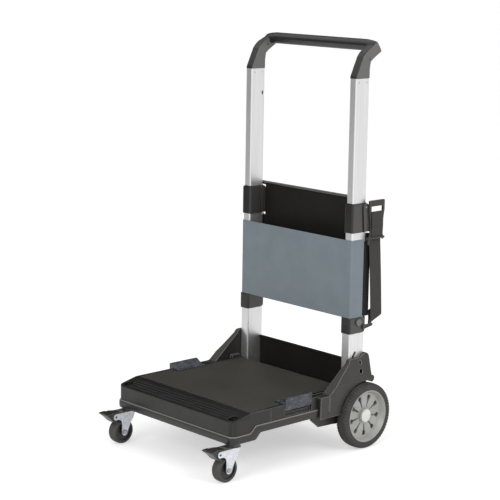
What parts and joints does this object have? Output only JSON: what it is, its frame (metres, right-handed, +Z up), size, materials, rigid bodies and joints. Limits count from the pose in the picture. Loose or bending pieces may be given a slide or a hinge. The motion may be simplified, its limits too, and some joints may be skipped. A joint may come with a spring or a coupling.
{
  "type": "folding platform cart",
  "caption": "Hand cart with a telescopic handle, a fold-up platform between side brackets, large rear wheels, braked swivel casters and a lashing strap.",
  "frame": {"origin": "on the floor, under the middle of the whole cart's box", "axes": "+X to the right across the cart, +Y to the back (the wheels and uprights), +Z up"},
  "size_m": [0.516, 0.627, 1.096],
  "materials": {
    "tube_alu": "satin anodised",
    "bracket": "fine texture",
    "panel": "matte",
    "rail": "satin",
    "cover": "fine texture",
    "collar": "satin",
    "rubber": "matte",
    "webbing": "woven",
    "trim": "satin",
    "steel": "satin",
    "tray": "fine texture",
    "deck": "grained",
    "latch": "mottled satin",
    "handle": "fine texture",
    "button": "satin",
    "tyre": "matte",
    "rim": "satin silver",
    "cap": "satin silver",
    "caster_tyre": "matte",
    "caster_core": "satin",
    "zinc": "zinc plated",
    "beam": "matte"
  },
  "bodies": {
    "chassis": {"left_lower_tube": "tube_alu", "right_lower_tube": "tube_alu", "left_middle_tube": "tube_alu", "right_middle_tube": "tube_alu", "left_side_bracket": "bracket", "right_side_bracket": "bracket", "rear_axle": "steel", "axle_beam": "beam", "axle_retainers": "steel", "lower_back_panel": "panel", "upper_back_panel": "panel", "upper_panel_rail": "rail", "front_cover": "cover", "left_upper_collar": "collar", "right_upper_collar": "collar", "left_lower_collar": "collar", "right_lower_collar": "collar", "rear_bumpers": "rubber", "strap": "webbing", "strap_buckle": "trim", "strap_hook": "trim", "frame_screws": "steel", "guide_bushes": "collar", "platform_hinge_pins": "steel", "lever_pins": "steel"},
    "platform": {"platform_tray": "tray", "deck_sheet": "deck", "platform_lip": "tray", "left_caster_stem": "collar", "right_caster_stem": "collar", "latch_pins": "steel"},
    "handle": {"left_upper_tube": "tube_alu", "right_upper_tube": "tube_alu", "handle_grip": "handle", "handle_rivets": "steel", "tube_end_plugs": "trim"},
    "left_lever": {"left_clamp_lever": "collar"},
    "left_button": {"left_release_button": "button"},
    "left_flap": {"left_latch": "latch"},
    "left_wheel": {"left_wheel_tyre": "tyre", "left_wheel_rim": "rim", "left_wheel_bushes": "trim", "left_hub_cap": "cap"},
    "left_caster": {"left_caster_fork": "zinc", "left_caster_bolt": "zinc"},
    "left_caster_wheel": {"left_caster_tyre": "caster_tyre", "left_caster_hub": "caster_core"},
    "left_brake": {"left_brake_pedal": "trim"},
    "right_lever": {"right_clamp_lever": "collar"},
    "right_button": {"right_release_button": "button"},
    "right_flap": {"right_latch": "latch"},
    "right_wheel": {"right_wheel_tyre": "tyre", "right_wheel_rim": "rim", "right_wheel_bushes": "trim", "right_hub_cap": "cap"},
    "right_caster": {"right_caster_fork": "zinc", "right_caster_bolt": "zinc"},
    "right_caster_wheel": {"right_caster_tyre": "caster_tyre", "right_caster_hub": "caster_core"},
    "right_brake": {"right_brake_pedal": "trim"}
  },
  "joints": [
    {"name": "platform_fold", "type": "hinge", "parent": "chassis", "child": "platform", "pos_m": [0, 0.1295, 0.154], "axis": [-1, 0, 0], "range_deg": [0, 90]},
    {"name": "handle_slide", "type": "slide", "parent": "chassis", "child": "handle", "axis": [0, 0, 1], "range_m": [-0.316, 0]},
    {"name": "left_clamp_lever_swing", "type": "hinge", "parent": "chassis", "child": "left_lever", "pos_m": [-0.2, 0.2335, 0.655], "axis": [1, 0, 0], "range_deg": [0, 75]},
    {"name": "left_button_press", "type": "slide", "parent": "chassis", "child": "left_button", "axis": [1, 0, 0], "range_m": [0, 0.003], "stiffness_N_per_m": 400, "springref_m": -0.001},
    {"name": "left_latch_swing", "type": "hinge", "parent": "platform", "child": "left_flap", "pos_m": [-0.223, -0.0155, 0.155], "axis": [0, -1, 0], "range_deg": [0, 95]},
    {"name": "left_wheel_spin", "type": "hinge", "parent": "chassis", "child": "left_wheel", "pos_m": [-0.24, 0.2235, 0.09], "axis": [1, 0, 0], "continuous": true},
    {"name": "left_caster_swivel", "type": "hinge", "parent": "platform", "child": "left_caster", "pos_m": [-0.211, -0.2265, 0.0884], "axis": [0, 0, 1], "continuous": true},
    {"name": "left_caster_spin", "type": "hinge", "parent": "left_caster", "child": "left_caster_wheel", "pos_m": [-0.211, -0.2535, 0.0335], "axis": [1, 0, 0], "continuous": true},
    {"name": "left_brake_press", "type": "hinge", "parent": "left_caster", "child": "left_brake", "pos_m": [-0.211, -0.2835, 0.08], "axis": [1, 0, 0], "range_deg": [0, 10]},
    {"name": "right_clamp_lever_swing", "type": "hinge", "parent": "chassis", "child": "right_lever", "pos_m": [0.2, 0.2335, 0.655], "axis": [1, 0, 0], "range_deg": [0, 75]},
    {"name": "right_button_press", "type": "slide", "parent": "chassis", "child": "right_button", "axis": [-1, 0, 0], "range_m": [0, 0.003], "stiffness_N_per_m": 400, "springref_m": -0.001},
    {"name": "right_latch_swing", "type": "hinge", "parent": "platform", "child": "right_flap", "pos_m": [0.223, -0.0155, 0.155], "axis": [0, 1, 0], "range_deg": [0, 95]},
    {"name": "right_wheel_spin", "type": "hinge", "parent": "chassis", "child": "right_wheel", "pos_m": [0.24, 0.2235, 0.09], "axis": [1, 0, 0], "continuous": true},
    {"name": "right_caster_swivel", "type": "hinge", "parent": "platform", "child": "right_caster", "pos_m": [0.211, -0.2265, 0.0884], "axis": [0, 0, 1], "continuous": true},
    {"name": "right_caster_spin", "type": "hinge", "parent": "right_caster", "child": "right_caster_wheel", "pos_m": [0.211, -0.2535, 0.0335], "axis": [1, 0, 0], "continuous": true},
    {"name": "right_brake_press", "type": "hinge", "parent": "right_caster", "child": "right_brake", "pos_m": [0.211, -0.2835, 0.08], "axis": [1, 0, 0], "range_deg": [0, 10]}
  ]
}
